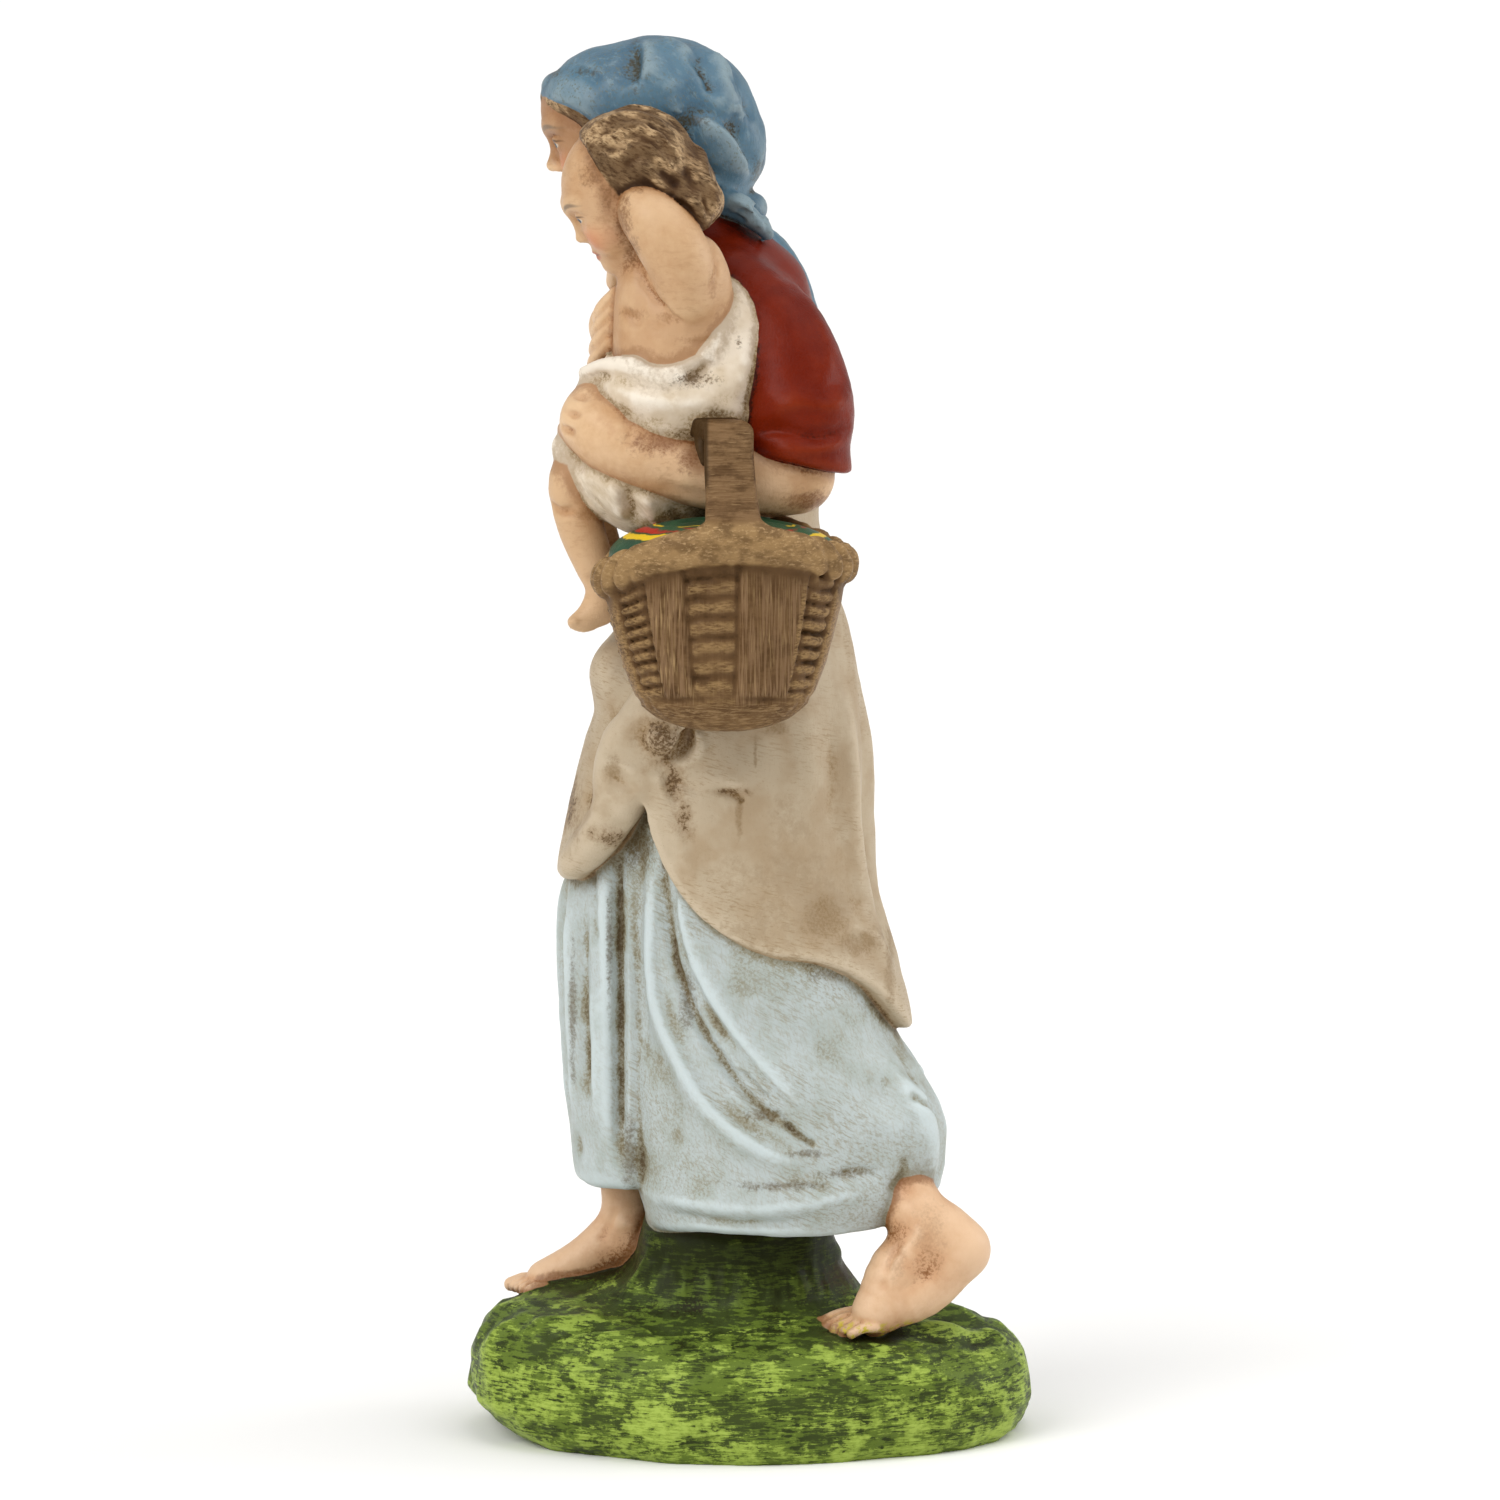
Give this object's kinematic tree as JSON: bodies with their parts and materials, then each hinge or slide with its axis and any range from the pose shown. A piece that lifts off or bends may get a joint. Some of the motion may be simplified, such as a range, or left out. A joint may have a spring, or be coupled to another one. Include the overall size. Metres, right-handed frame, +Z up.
{
  "type": "figurine",
  "caption": "Painted crib figurine of a striding barefoot peasant woman with a child on her arm and a covered basket, cast with its grassy mound.",
  "frame": {"origin": "middle of the mound's flat underside, on the surface it stands on", "axes": "+Z up; she walks towards -X; her left side, with the child and the basket, faces -Y"},
  "size_m": [0.0851, 0.0715, 0.2098],
  "materials": {
    "painted_plaster": "matte paint over moulded composition, worn and antiqued"
  },
  "bodies": {
    "root": {"figurine": "painted_plaster"}
  },
  "joints": []
}
